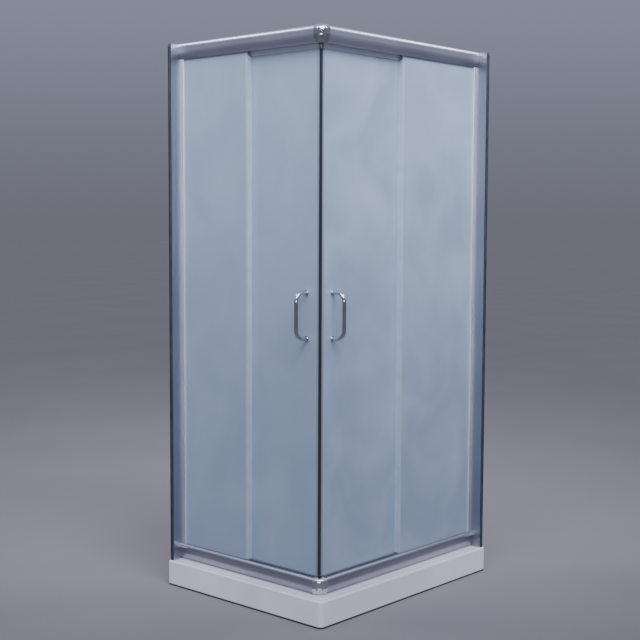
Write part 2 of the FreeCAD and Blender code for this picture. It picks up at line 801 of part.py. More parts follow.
def end_screw_places():
    slot_top = "top_rail_base + slot_depth"
    return [("rail_back - port_edge", "total_height - upper_port_drop"),
            ("fixed_glass_setback + glass_thickness / 2", f"{slot_top} + upper_port_drop"),
            ("rail_back - port_edge", "tray_height + lower_port_rise"),
            ("(slot_back + guide_groove_front) / 2", "bottom_rail_top - slot_depth + port_edge / 2")]


def end_rod(wall, radius, length, start, inward, height):
    along = wall.from_wall(start) if wall.from_room_wall else wall.from_wall(f"{start} + {length}")
    return rod(radius, length, along, inward, height, ALONG)


def make_screws(wall):
    side = []
    for height in side_screw_heights():
        along = wall.from_wall("post_width / 2")
        head = rod("side_screw_head_radius", "side_screw_head_height", along, "channel_back", height, INWARD)
        shank = rod("side_screw_radius", "side_screw_length", along, "channel_back - side_screw_length",
                    height, INWARD)
        side.append(fuse([head, shank]))
    wall.seat(fuse(side), "channel_screws")
    ends = []
    inner_face = "(post_width - channel_wall)"
    for inward, height in end_screw_places():
        head = end_rod(wall, "end_screw_head_radius", "end_screw_head_height",
                       f"{inner_face} - end_screw_head_height", inward, height)
        shank = end_rod(wall, "end_screw_radius", "end_screw_length", inner_face, inward, height)
        ends.append(fuse([head, shank]))
    wall.seat(fuse(ends), "rail_screws")


def make_wall_seal(wall):
    tip = "channel_front - wall_seal_thickness"
    section = [("0", f"{tip} + wall_seal_lip"), ("wall_seal_lip", tip),
               ("wall_seal_width - wall_seal_lip", tip, "wall_seal_lip"),
               ("wall_seal_width", f"{tip} + wall_seal_lip"), ("wall_seal_width", "channel_front"),
               ("0", "channel_front")]
    body = upright(wall, "wall_seal", [section], "tray_height",
                   "total_height - wall_seal_top_drop - tray_height", "wall")
    wall.seat(body, "wall_seal")


def make_bead(wall):
    start, end = "post_width", "post_width + bead_width"
    grip = "(post_width + bead_glass_start)"
    back = "(slot_back + bead_back_wall)"
    section = [(start, "bead_front"), (f"{end} - bead_round", "bead_front", "bead_round"),
               (end, "bead_front + bead_round"), (end, "fixed_glass_setback"), (grip, "fixed_glass_setback"),
               (grip, "fixed_glass_back"), (end, "fixed_glass_back"), (end, back), (start, back)]
    body = upright(wall, "glazing_bead", [section], "bottom_rail_top",
                   "top_rail_base - bottom_rail_top", "wall")
    wall.seat(body, "glazing_bead")


# Glass, its edge seals and the fixed pane

def make_fixed_side(wall):
    edge = wall.to_corner(f"{wall.fixed_reach} - seal_cap")
    pane = rectangle(edge, "fixed_glass_setback", wall.to_corner("post_width + bead_glass_start"),
                     "fixed_glass_back")
    wall.seat(upright(wall, "fixed_glass", [pane], "bottom_rail_top - slot_depth",
                      "top_rail_base - bottom_rail_top + 2 * slot_depth - slot_headroom"), "fixed_glass")
    near = wall.to_corner(wall.fixed_reach)
    skin = "seal_wall"
    section = [(near, f"fixed_glass_setback - {skin}"),
               (f"{edge} + seal_grip", f"fixed_glass_setback - {skin}"),
               (f"{edge} + seal_grip", "fixed_glass_setback"), (edge, "fixed_glass_setback"),
               (edge, "fixed_glass_back"), (f"{edge} + seal_grip", "fixed_glass_back"),
               (f"{edge} + seal_grip", f"fixed_glass_back + {skin}"),
               (f"{near} + seal_fin", f"fixed_glass_back + {skin}"),
               (f"{near} + seal_fin", "door_glass_setback - seal_tip_gap"),
               (near, "door_glass_setback - seal_tip_gap")]
    wall.seat(upright(wall, "fixed_edge_seal", [section], "bottom_rail_top + rail_gap", "edge_seal_height"),
              "fixed_edge_seal")


def make_door_glass(wall):
    pane = block(wall, "door_lead_setback", wall.door_rear, "door_glass_setback", "door_glass_back",
                 "door_glass_base", "door_glass_top")
    holes = [rod("handle_glass_hole", "glass_thickness + 2 * overrun", handle_along(wall),
                 "door_glass_setback - overrun", height, INWARD) for height in ("handle_low", "handle_high")]
    wall.seat(cut(pane, holes), "door_glass")


def make_door_seals(wall):
    skin = "seal_wall"
    front, back = f"(door_glass_setback - {skin})", f"(door_glass_back + {skin})"
    lead, grip = "door_lead_setback", "(door_lead_setback + seal_grip)"
    base, height = "bottom_rail_top + rail_gap", "edge_seal_height"
    magnet = [(f"{front} + magnet_gap", front), (grip, front), (grip, "door_glass_setback"),
              (lead, "door_glass_setback"), (lead, "door_glass_back - magnet_gap"),
              (f"door_glass_back", f"door_glass_back - magnet_gap")]
    wall.seat(upright(wall, "magnet_seal", [magnet], base, height), "magnet_seal")
    rear = wall.door_rear
    start, end = f"({rear} - seal_grip)", f"({rear} + seal_cap)"
    tip = "(fixed_glass_back + seal_tip_gap)"
    fin = [(start, front), (f"{end} - seal_fin", front), (f"{end} - seal_fin", tip), (end, tip), (end, back),
           (start, back), (start, "door_glass_back"), (rear, "door_glass_back"),
           (rear, "door_glass_setback"), (start, "door_glass_setback")]
    wall.seat(upright(wall, "rear_seal", [fin], base, height), "rear_seal")


# What the door hangs from: a profile on its top edge, two hangers and their wheel pairs

def hanger_places(wall):
    return (("lead_", "(door_lead_setback + hanger_inset)"), ("rear_", f"({wall.door_rear} - hanger_inset)"))


def base_screw_places(wall):
    return [f"{spot} {sign} base_screw_offset" for name, spot in hanger_places(wall) for sign in "-+"]


def make_top_profile(wall):
    lip_back, lip_end = "(top_profile_front + top_lip_thickness)", "(lip_bottom - top_lip_gap)"
    section = [("top_profile_front", "top_profile_base"), ("door_glass_setback", "top_profile_base"),
               ("door_glass_setback", "door_glass_top"), ("door_glass_back", "door_glass_top"),
               ("door_glass_back", "top_profile_base"), ("top_profile_back", "top_profile_base"),
               ("top_profile_back", "top_profile_top"), (lip_back, "top_profile_top"),
               (lip_back, lip_end), ("top_profile_front", lip_end)]
    body = extrusion(wall, "door_top_profile", [section], "door_lead_setback + top_profile_lead_end",
                     f"{wall.door_rear} - top_profile_rear_end")
    drilled = [rod("base_screw_radius + base_screw_clearance", "2 * top_profile_web", wall.from_corner(spot),
                   "door_glass_middle", "door_glass_top", UP) for spot in base_screw_places(wall)]
    wall.seat(cut(body, drilled), "door_top_profile")


def make_hanger(wall, name, spot):
    half, edge = "hanger_length / 2", "top_lip_thickness + hanger_base_side"
    base = block(wall, f"{spot} - {half}", f"{spot} + {half}", f"top_profile_front + {edge}",
                 f"top_profile_back - ({edge})", "top_profile_top", "hanger_base_top")
    side = "hanger_plate_thickness / 2"
    plate = block(wall, f"{spot} - hanger_plate_length / 2", f"{spot} + hanger_plate_length / 2",
                  f"door_glass_middle - {side}", f"door_glass_middle + {side}", "hanger_base_top",
                  "axle_height")
    crown = rod("hanger_plate_length / 2", "hanger_plate_thickness", wall.from_corner(spot),
                f"door_glass_middle - {side}", "axle_height", INWARD)
    bore = rod("axle_radius + axle_clearance", "hanger_plate_thickness + 2 * overrun",
               wall.from_corner(spot), f"door_glass_middle - {side} - overrun", "axle_height", INWARD)
    screws = [rod("base_screw_radius + base_screw_clearance", "hanger_base_thickness + 2 * overrun",
                  wall.from_corner(f"{spot} {sign} base_screw_offset"), "door_glass_middle",
                  "top_profile_top - overrun", UP) for sign in "-+"]
    wall.seat(cut(fuse([base, plate, crown]), [bore] + screws), name + "hanger")


def make_wheels(wall, name, spot):
    reach, rim = "wheel_reach", "wheel_rim_width"
    face = "(hanger_plate_thickness / 2 + wheel_hub_gap)"
    inner = f"({reach} - {rim})"
    wheel = [("axle_radius", face), ("wheel_hub_radius", face), ("wheel_hub_radius", f"{inner}"),
             ("wheel_radius - wheel_crown", inner), ("wheel_radius", f"{inner} + wheel_crown"),
             ("wheel_radius", f"{reach} - wheel_crown"), ("wheel_radius - wheel_crown", reach),
             ("wheel_hub_radius + wheel_crown", reach),
             ("wheel_hub_radius", f"{reach} - wheel_groove_depth"),
             ("axle_radius", f"{reach} - wheel_groove_depth")]
    mirrored = [(radius, f"-({height})") for radius, height in wheel]
    pair = []
    for side, loop in (("front", wheel), ("back", mirrored)):
        piece = turned(name + side, [loop])
        piece.Placement.Rotation = FreeCAD.Rotation(UP, INWARD)
        pair.append(place(piece, wall.from_corner(spot), "door_glass_middle", "axle_height"))
    wall.seat(fuse(pair), name + "wheels")
    overall = f"2 * ({reach} - wheel_groove_depth + axle_overhang)"
    axle = crosswise(wall, name + "axle", [("circle", spot, "axle_height", "axle_radius")],
                     f"door_glass_middle - ({overall}) / 2", f"door_glass_middle + ({overall}) / 2")
    wall.seat(axle, name + "axle")


def make_hanger_screws(wall):
    screws = []
    for spot in base_screw_places(wall):
        along = wall.from_corner(spot)
        shank = rod("base_screw_radius", "hanger_base_top - door_glass_top - base_screw_clearance", along,
                    "door_glass_middle", "door_glass_top + base_screw_clearance")
        head = rod("base_screw_head_radius", "base_screw_head_height", along, "door_glass_middle",
                   "hanger_base_top")
        screws.append(fuse([shank, head]))
    wall.seat(fuse(screws), "hanger_screws")


def make_guides(wall):
    front = "(guide_groove_front + guide_side_gap)"
    back = "(guide_groove_front + guide_groove_width - guide_side_gap)"
    foot = "(bottom_rail_top - guide_groove_depth + guide_bottom_gap)"
    top = "(bottom_rail_top - guide_sink)"
    shoes = []
    for spot in ("(door_lead_setback + guide_inset)", f"({wall.door_rear} - guide_inset)"):
        start, end = f"({spot} - guide_length / 2)", f"({spot} + guide_length / 2)"
        section = [(start, f"{foot} + guide_nose"), (f"{start} + guide_nose", foot),
                   (f"{end} - guide_nose", foot), (end, f"{foot} + guide_nose"), (end, top), (start, top)]
        body = crosswise(wall, "guide_shoe", [section], front, back)
        slot = block(wall, f"{start} - overrun", f"{end} + overrun", "door_glass_setback", "door_glass_back",
                     "door_glass_base", f"{top} + overrun")
        shoes.append(cut(body, [slot]))
    wall.seat(fuse(shoes), "guide_shoes")


def make_stops(wall):
    half = "hanger_plate_length / 2"
    lead_end = f"(door_lead_setback + hanger_inset - {half} - stop_gap)"
    rear_start = f"({wall.door_rear} - hanger_inset + {half} + stop_gap + {wall.travel})"
    front, back = "track_front + stop_side_gap", "rail_back - rail_wall - stop_side_gap"
    stops = []
    spans = ((f"({lead_end} - stop_length)", lead_end), (rear_start, f"({rear_start} + stop_length)"))
    for start, end in spans:
        whole = block(wall, start, end, front, back, "lip_top", "lip_top + stop_height")
        notch = block(wall, f"{start} + stop_recess", f"{end} - stop_recess",
                      f"{front} - overrun", f"{back} + overrun", "lip_top + stop_height - stop_recess",
                      "lip_top + stop_height + overrun")
        stops.append(cut(whole, [notch]))
    wall.seat(fuse(stops), "door_stops")


# Handles: a bent tube with two collars outside the glass, and a screwed cap behind each collar

def handle_along(wall):
    return wall.from_corner("door_lead_setback + handle_inset")


def make_handle(wall):
    body = new_body(wall.prefix + "handle_body")
    along = handle_along(wall)
    low, high, bend = "handle_low", "handle_high", "handle_bend_radius"
    out = "handle_axis_setback"
    path = new_sketch(body, "handle_path", "YZ_Plane", [], along)
    draw_loop(path, [("door_glass_setback", low), (f"{out} + {bend}", low, f"-{bend}"),
                     (out, f"{low} + {bend}"), (out, f"{high} - {bend}", f"-{bend}"),
                     (f"{out} + {bend}", high), ("door_glass_setback", high)], closed=False)
    ring = new_sketch(body, "handle_ring", "XZ_Plane", [("circle", along, low, "handle_tube_radius")],
                      "-door_glass_setback")
    doc.recompute()
    pipe = body.newObject("PartDesign::AdditivePipe", "handle_tube")
    pipe.Profile = ring
    pipe.Spine = path
    for height in (low, high):
        collar = new_sketch(body, "handle_collar", "XZ_Plane",
                            [("circle", along, height, "handle_collar_radius")], "-door_glass_setback")
        pad(body, "handle_collar_pad", collar, "handle_collar_height")
        socket = new_sketch(body, "handle_socket", "XZ_Plane",
                            [("circle", along, height, "handle_stud_radius + handle_stud_clearance")],
                            "-door_glass_setback")
        pocket(body, "handle_socket_cut", socket, "handle_stud_depth + handle_stud_end_gap", reverse=True)
    wall.seat(body, "handle")
    caps = []
    for height in (low, high):
        cap = rod("handle_cap_radius", "handle_cap_height", along, "door_glass_back", height, INWARD)
        rounded = doc.addObject("Part::Fillet", "cap_round")
        doc.recompute()
        far = number("door_glass_back + handle_cap_height")
        rim = [order for order, edge in enumerate(cap.Shape.Edges, start=1)
               if abs(edge.BoundBox.YMin - far) < 1e-4]
        rounded.Base = cap
        rounded.Edges = [(order, number("handle_cap_round"), number("handle_cap_round")) for order in rim]
        stud = rod("handle_stud_radius", "handle_stud_depth + glass_thickness", along,
                   "door_glass_setback - handle_stud_depth", height, INWARD)
        caps.append(fuse([rounded, stud]))
    wall.seat(fuse(caps), "handle_caps")


# Corner: a rounded casting that continues the rails' face round the corner, with a spigot into each
# rail, and a chrome cap over it whose foot is narrower than its shoulders

def corner_sector(name, loops, half_angle):
    body = new_body(name)
    sketch = new_sketch(body, name + "_profile", "YZ_Plane", loops)
    feature = body.newObject("PartDesign::Revolution", name + "_turn")
    feature.Profile = sketch
    feature.ReferenceAxis = (sketch, ["V_Axis"])
    feature.Midplane = True
    feature.Angle = 2 * half_angle
    return body


def from_axis(points):
    return [(f"(rail_end_setback - ({setback}))", height, *map(flip, radius))
            for setback, height, *radius in points]


def at_corner(thing):
    thing.Placement.Rotation = FreeCAD.Rotation(UP, 225)
    return place(thing, "tray_width / 2 - rail_end_setback", "rail_end_setback - tray_depth / 2")


def make_corner(level, base, top, spigot_base, spigot_top):
    axis = "rail_end_setback"
    profile = from_axis(rail_nose(base, top) + [(axis, top), (axis, base)])
    knuckle = at_corner(corner_sector(level + "knuckle", [profile], 45))
    spigots = []
    for wall in (FRONT, RIGHT):
        section = rectangle("spigot_front", spigot_base, "spigot_back", spigot_top)
        spigot = extrusion(wall, level + "spigot", [section], "rail_end_setback - port_edge",
                           "rail_end_setback + spigot_length")
        spigots.append(wall.stand(spigot))
    keep(fuse([knuckle] + spigots), level + "corner_joint")
    make_cap(level, base, top)


def make_cap(level, base, top):
    skin = "cap_thickness"
    roof = f"({top} + {skin})"
    grown_belly = f"(belly_radius + {skin})"
    grown_nose = f"(nose_radius + {skin})"
    foot = f"(rail_face + belly_radius - sqrt({grown_belly}^2 - belly_height^2))"
    outline = [(foot, base, f"-{grown_belly}"), (f"rail_face - {skin}", f"{base} + belly_height"),
               (f"rail_face - {skin}", f"{top} - nose_radius", f"-{grown_nose}"),
               ("rail_face + nose_radius", roof), ("rail_face + nose_radius + cap_top_reach", roof),
               ("rail_face + nose_radius + cap_top_reach", top),
               ("rail_face + nose_radius", top, "nose_radius"),
               ("rail_face", f"{top} - nose_radius"), ("rail_face", f"{base} + belly_height", "belly_radius"),
               ("rail_setback", base)]
    body = corner_sector(level + "cap", [from_axis(outline)], number("cap_half_angle"))
    if level == "top_":
        tip, shoulder = f"{base} - overrun", f"{base} + cap_top_taper_rise"
    else:
        tip, shoulder = f"{roof} + overrun", f"{top} - cap_bottom_taper_drop"
    narrow, wide, far = "cap_foot_half", "cap_shoulder_half", "rail_end_setback"
    for sign in ("", "-"):
        wedge = [(f"{sign}({narrow})", tip), (f"{sign}({far})", tip), (f"{sign}({far})", shoulder),
                 (f"{sign}({wide})", shoulder)]
        sketch = new_sketch(body, level + "cap_wedge", "XZ_Plane", [wedge])
        pocket(body, level + "cap_taper", sketch)
    shape_cap(level, body, base, roof)
    keep(at_corner(body), level + "corner_cap")


# The cap's face: two upright flutes, a scallop in the top edge and, on the upper cap, a rounded button

def shape_cap(level, body, base, roof):
    face = "(rail_end_setback - rail_face + cap_thickness)"
    flute_axis = f"sqrt({face}^2 - cap_flute_spread^2) + cap_flute_radius - cap_flute_depth"
    flutes = [("circle", sign + "cap_flute_spread", flute_axis, "cap_flute_radius") for sign in ("", "-")]
    pocket(body, level + "cap_flutes", new_sketch(body, level + "cap_flutes_plan", "XY_Plane", flutes))
    dip = ("circle", "0", f"{roof} + cap_scallop_radius - cap_scallop_depth", "cap_scallop_radius")
    pocket(body, level + "cap_scallop", new_sketch(body, level + "cap_scallop_side", "XZ_Plane", [dip]))
    if level == "top_":
        button = ("circle", "0", f"{base} + cap_button_rise", "cap_button_radius")
        disc = new_sketch(body, "cap_button_side", "XZ_Plane", [button], f"-({face} - cap_button_root)")
        pad(body, "cap_button", disc, "cap_button_root + cap_button_height", reverse=True)
        front = number(f"{face} + cap_button_height")
        round_edges(body, "cap_button_rim", "cap_button_round",
                    lambda edge: abs(edge.BoundBox.YMin - front) < 1e-4)


# Build

make_tray()
make_legs()
make_waste()
for wall in (FRONT, RIGHT):
    make_wall_channel(wall)
    make_wall_post(wall)
    make_wall_seal(wall)
    make_screws(wall)
    make_bead(wall)
    make_top_rail(wall)
    make_bottom_rail(wall)
    make_fixed_side(wall)
    make_stops(wall)
    make_door_glass(wall)
    make_door_seals(wall)
    make_top_profile(wall)
    make_hanger_screws(wall)
    make_guides(wall)
    make_handle(wall)
    for name, spot in hanger_places(wall):
        make_hanger(wall, name, spot)
        make_wheels(wall, name, spot)
make_corner("top_", "top_rail_base", "total_height", "track_ceiling + rail_wall + spigot_side_gap",
            "total_height - rail_wall - spigot_side_gap")
make_corner("bottom_", "tray_height", "bottom_rail_top", "tray_height + rail_wall + spigot_side_gap",
            "bottom_rail_top - guide_groove_depth - rail_wall - spigot_side_gap")
doc.recompute()

faults = [f"{thing.Name}: {thing.State}" for thing in doc.Objects
          if "Invalid" in thing.State or "Error" in thing.State]
faults += [f"{piece.Label}: empty or not valid" for piece in subparts
           if piece.Shape.isNull() or not piece.Shape.isValid() or not piece.Shape.Solids]
if faults:
    raise RuntimeError("\n".join(faults))

os.makedirs("parts", exist_ok=True)
for piece in subparts:
    piece.Shape.exportStep(f"parts/{piece.Label}.step")
print(f"{len(subparts)} sub-parts written")
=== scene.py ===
from math import pi, radians
import bmesh
import bpy
from mathutils import Matrix, Vector


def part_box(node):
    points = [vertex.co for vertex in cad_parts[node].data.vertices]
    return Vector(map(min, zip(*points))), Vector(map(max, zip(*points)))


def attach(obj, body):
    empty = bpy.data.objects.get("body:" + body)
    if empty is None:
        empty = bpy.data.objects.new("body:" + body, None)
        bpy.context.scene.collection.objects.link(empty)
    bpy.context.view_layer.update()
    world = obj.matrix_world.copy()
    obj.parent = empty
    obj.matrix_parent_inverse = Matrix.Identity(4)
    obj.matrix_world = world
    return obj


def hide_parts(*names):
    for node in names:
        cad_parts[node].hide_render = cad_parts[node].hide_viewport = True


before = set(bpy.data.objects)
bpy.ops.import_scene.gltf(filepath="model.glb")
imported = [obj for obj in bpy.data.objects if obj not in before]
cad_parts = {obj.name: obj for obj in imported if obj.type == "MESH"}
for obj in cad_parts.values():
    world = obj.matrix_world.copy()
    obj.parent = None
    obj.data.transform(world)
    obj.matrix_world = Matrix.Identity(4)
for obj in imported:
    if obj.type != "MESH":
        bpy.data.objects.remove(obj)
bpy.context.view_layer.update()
print("frame loaded:", len(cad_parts), "parts of the shower enclosure")

millimetre = 0.001
walls = ("front", "right")

# A Mix node lists the sockets of every type of value; these are its share and its colours
mixShare, mixFirst, mixSecond, mixResult = 0, 6, 7, 2


# Helpers for materials

def linearColour(hexCode):
    channels = []
    for start in (1, 3, 5):
        value = int(hexCode[start:start + 2], 16) / 255
        channels.append(value / 12.92 if value <= 0.04045 else ((value + 0.055) / 1.055) ** 2.4)
    return (*channels, 1.0)


def addNode(tree, kind, settings=None, links=None):
    node = tree.nodes.new(kind)
    for key, value in (settings or {}).items():
        if isinstance(key, int) or key in node.inputs:
            node.inputs[key].default_value = value
        else:
            setattr(node, key, value)
    for key, source in (links or {}).items():
        tree.links.new(source, node.inputs[key])
    return node


# Every pattern is laid out in the part's own frame, so it doesn't stretch and moves with its body
def newMaterial(name):
    material = bpy.data.materials.new(name)
    material.use_nodes = True
    tree = material.node_tree
    tree.nodes.clear()
    place = addNode(tree, "ShaderNodeTexCoord").outputs["Object"]
    return material, tree, place


def patternScale(sizeMm):
    return 1 / (sizeMm * millimetre)


# Noise keeps near the middle of its range, so a tone or a gloss is fully reached at these ends
driftDetail = 3.0
driftLow, driftHigh = 0.35, 0.65
wearLow, wearHigh = 0.3, 0.7


def driftingTone(tree, place, sizeMm, first, second):
    drift = addNode(tree, "ShaderNodeTexNoise",
                    {"Scale": patternScale(sizeMm), "Detail": driftDetail}, {"Vector": place})
    share = addNode(tree, "ShaderNodeMapRange", {"From Min": driftLow, "From Max": driftHigh},
                    {"Value": drift.outputs["Fac"]})
    tone = addNode(tree, "ShaderNodeMix",
                   {"data_type": "RGBA", mixFirst: linearColour(first),
                    mixSecond: linearColour(second)}, {mixShare: share.outputs["Result"]})
    return tone.outputs[mixResult]


def wornGloss(tree, place, sizeMm, detail, roughness):
    wear = addNode(tree, "ShaderNodeTexNoise",
                   {"Scale": patternScale(sizeMm), "Detail": detail}, {"Vector": place})
    gloss = addNode(tree, "ShaderNodeMapRange",
                    {"From Min": wearLow, "From Max": wearHigh,
                     "To Min": roughness[0], "To Max": roughness[1]},
                    {"Value": wear.outputs["Fac"]})
    return gloss.outputs["Result"]


def fineRelief(tree, place, sizeMm, detail, strength, heightMm):
    grain = addNode(tree, "ShaderNodeTexNoise",
                    {"Scale": patternScale(sizeMm), "Detail": detail}, {"Vector": place})
    bump = addNode(tree, "ShaderNodeBump",
                   {"Strength": strength, "Distance": heightMm * millimetre},
                   {"Height": grain.outputs["Fac"]})
    return bump.outputs["Normal"]


def dress(nodeNames, material):
    for nodeName in nodeNames:
        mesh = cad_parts[nodeName].data
        mesh.materials.clear()
        mesh.materials.append(material)


def onBothWalls(*names):
    return [f"{wall}_{name}" for wall in walls for name in names]


# Tray: sanitary acrylic, vacuum formed. It reads as white and glossy, with soft mirror images that
# waver as on a formed sheet and are duller in scuffed patches. Its lowest millimetres are painted
# dark: a painted contact shadow, the thin dark line under the apron where it stands on the floor

trayFinish = {
    "white": "#F3F1F9",
    "shade": "#EAE8F2",
    "driftMm": 260,
    # painted contact shadow: the dark tone of the apron's lowest millimetres
    "strip": "#2E3037",
    "contactShadowMm": (5, 8),
    "waveMm": 9,
    "waveDetail": 1.0,
    "waveStrength": 0.05,
    "waveHeightMm": 0.5,
    "scuffMm": 35,
    "scuffDetail": 6.0,
    "scuffHarshness": 0.7,
    "scuffSpread": (0.35, 0.7),
    "roughness": (0.16, 0.26),
    "ior": 1.49,
    "coat": 0.25,
    "coatRoughness": 0.08,
}


def sanitaryAcrylic():
    finish = trayFinish
    material, tree, place = newMaterial("sanitary acrylic, vacuum formed, glossy white")
    tone = driftingTone(tree, place, finish["driftMm"], finish["white"], finish["shade"])
    height = addNode(tree, "ShaderNodeSeparateXYZ", links={"Vector": place}).outputs["Z"]
    # painted contact shadow: the tone turns dark in the lowest millimetres, where the tray meets
    # the floor
    shadowLow, shadowHigh = finish["contactShadowMm"]
    aboveContactShadow = addNode(tree, "ShaderNodeMapRange",
                         {"From Min": shadowLow * millimetre, "From Max": shadowHigh * millimetre},
                         {"Value": height})
    contactShadowed = addNode(tree, "ShaderNodeMix",
                     {"data_type": "RGBA", mixFirst: linearColour(finish["strip"])},
                     {mixShare: aboveContactShadow.outputs["Result"], mixSecond: tone})
    scuffs = addNode(tree, "ShaderNodeTexNoise",
                     {"Scale": patternScale(finish["scuffMm"]), "Detail": finish["scuffDetail"],
                      "Roughness": finish["scuffHarshness"]}, {"Vector": place})
    scuffLow, scuffHigh = finish["scuffSpread"]
    smooth, scuffed = finish["roughness"]
    gloss = addNode(tree, "ShaderNodeMapRange",
                    {"From Min": scuffLow, "From Max": scuffHigh,
                     "To Min": smooth, "To Max": scuffed}, {"Value": scuffs.outputs["Fac"]})
    waves = fineRelief(tree, place, finish["waveMm"], finish["waveDetail"],
                       finish["waveStrength"], finish["waveHeightMm"])
    shader = addNode(tree, "ShaderNodeBsdfPrincipled",
                     {"IOR": finish["ior"], "Coat Weight": finish["coat"],
                      "Coat Roughness": finish["coatRoughness"]},
                     {"Base Color": contactShadowed.outputs[mixResult],
                      "Roughness": gloss.outputs["Result"], "Normal": waves})
    addNode(tree, "ShaderNodeOutputMaterial", links={"Surface": shader.outputs["BSDF"]})
    return material


# Aluminium extrusions, anodised. Fine draw lines run the way each profile was pressed and give a
# satin metal whose lines of light have soft edges. Real draw lines are about 0.1 mm apart, which
# would turn to noise in a picture of the whole enclosure, so they are drawn coarser

anodising = {
    "driftMm": 600,
    "lineDetail": 2.0,
    "lineStretch": 250,      # times longer than wide
    "lineHeightMm": 0.2,
    "handlingMm": 200,
    "handlingDetail": 4.0,
    "tones": {
        # top rails: light, with a clear line of light along the half-round
        "bright": {"light": "#D2D4E2", "dull": "#C9CCDB", "roughness": (0.34, 0.40),
                   "lineMm": 0.5, "lineStrength": 0.05},
        # bottom rails and wall profiles: a darker copy of the same finish, as painted shade
        "grey": {"light": "#AAACB4", "dull": "#A1A3AD", "roughness": (0.30, 0.36),
                 "lineMm": 0.6, "lineStrength": 0.07},
        # glazing beads: the palest copy of the same finish, painted light for the bright edge
        # between wall profile and glass
        "pale": {"light": "#EDF3FC", "dull": "#E3E9F3", "roughness": (0.46, 0.52),
                 "lineMm": 0.5, "lineStrength": 0.05},
    },
}


def anodisedAluminium(toneName, pieces, pressedAlong):
    finish = anodising["tones"][toneName]
    title = f"anodised aluminium extrusion, {toneName}, {pieces}"
    material, tree, place = newMaterial(title)
    stretched = [1.0, 1.0, 1.0]
    stretched[pressedAlong] = 1 / anodising["lineStretch"]
    pressed = addNode(tree, "ShaderNodeMapping", {"Scale": stretched}, {"Vector": place})
    lines = fineRelief(tree, pressed.outputs["Vector"], finish["lineMm"], anodising["lineDetail"],
                       finish["lineStrength"], anodising["lineHeightMm"])
    tone = driftingTone(tree, place, anodising["driftMm"], finish["light"], finish["dull"])
    gloss = wornGloss(tree, place, anodising["handlingMm"], anodising["handlingDetail"],
                      finish["roughness"])
    shader = addNode(tree, "ShaderNodeBsdfPrincipled", {"Metallic": 1.0},
                     {"Base Color": tone, "Roughness": gloss, "Normal": lines})
    addNode(tree, "ShaderNodeOutputMaterial", links={"Surface": shader.outputs["BSDF"]})
    return material


# Obscured glass: toughened, etched inside and smooth outside. The etched side makes it milky and
# lets a little light through without a view, and the smooth side still mirrors softly. Faint
# clouds and upright streaks break its even tone, as an uneven etch and dried water do; the light
# clouds are also a painted reflection, stronger on the right wall. The real etch is finer than
# 0.2 mm, too fine to show, so its grain is drawn coarser

glassFinish = {
    "tint": "#9FB2C8",
    "cloud": "#B8CBDF",
    "cloudMm": 260,
    "cloudDetail": 3.0,
    "cloudDistortion": 0.6,
    "cloudSpread": (0.35, 0.75),
    # partly painted reflection: the light clouds are twice as strong on the right wall
    "cloudAndReflectionShare": {"front": 0.5, "right": 1.0},      # the clouds show more on the right wall
    "streak": "#FFFFFF",
    "streakMm": 5,
    "streakDetail": 3.0,
    "streakStretch": 50,     # times longer than wide
    "streakShare": 0.04,
    "grainMm": 1.6,
    "grainDetail": 2.0,
    "grainStrength": 0.20,
    "grainHeightMm": 0.3,
    "roughness": 0.52,
    "passes": 0.25,
    "ior": 1.52,
    "coat": 0.5,
    "coatRoughness": 0.14,
}


def obscuredGlass(wall):
    finish = glassFinish
    material, tree, place = newMaterial("obscured toughened glass, " + wall)
    clouds = addNode(tree, "ShaderNodeTexNoise",
                     {"Scale": patternScale(finish["cloudMm"]), "Detail": finish["cloudDetail"],
                      "Distortion": finish["cloudDistortion"]}, {"Vector": place})
    cloudLow, cloudHigh = finish["cloudSpread"]
    clouded = addNode(tree, "ShaderNodeMapRange",
                      {"From Min": cloudLow, "From Max": cloudHigh,
                       "To Max": finish["cloudAndReflectionShare"][wall]}, {"Value": clouds.outputs["Fac"]})
    tone = addNode(tree, "ShaderNodeMix",
                   {"data_type": "RGBA", mixFirst: linearColour(finish["tint"]),
                    mixSecond: linearColour(finish["cloud"])},
                   {mixShare: clouded.outputs["Result"]})
    upright = addNode(tree, "ShaderNodeMapping",
                      {"Scale": (1.0, 1.0, 1 / finish["streakStretch"])}, {"Vector": place})
    streaks = addNode(tree, "ShaderNodeTexNoise",
                      {"Scale": patternScale(finish["streakMm"]),
                       "Detail": finish["streakDetail"]}, {"Vector": upright.outputs["Vector"]})
    streaked = addNode(tree, "ShaderNodeMapRange", {"To Max": finish["streakShare"]},
                       {"Value": streaks.outputs["Fac"]})
    colour = addNode(tree, "ShaderNodeMix",
                     {"data_type": "RGBA", mixSecond: linearColour(finish["streak"])},
                     {mixShare: streaked.outputs["Result"], mixFirst: tone.outputs[mixResult]})
    grain = fineRelief(tree, place, finish["grainMm"], finish["grainDetail"],
                       finish["grainStrength"], finish["grainHeightMm"])
    shader = addNode(tree, "ShaderNodeBsdfPrincipled",
                     {"IOR": finish["ior"], "Roughness": finish["roughness"],
                      "Transmission Weight": finish["passes"], "Coat Weight": finish["coat"],
                      "Coat Roughness": finish["coatRoughness"]},
                     {"Base Color": colour.outputs[mixResult], "Normal": grain})
    addNode(tree, "ShaderNodeOutputMaterial", links={"Surface": shader.outputs["BSDF"]})
    return material


# Plated, cast, lacquered, moulded and rubber parts share one build: a tone that drifts, a gloss
# that wears in patches twice as wide, and a surface grain. Grains that are really finer than half
# a millimetre are drawn that coarse at least, because they would turn to noise

partSurface = {
    "wearOverDrift": 2,
    "wearDetail": 6.0,
    "grainDetail": 3.0,
    "grainHeightMm": 0.3,
}

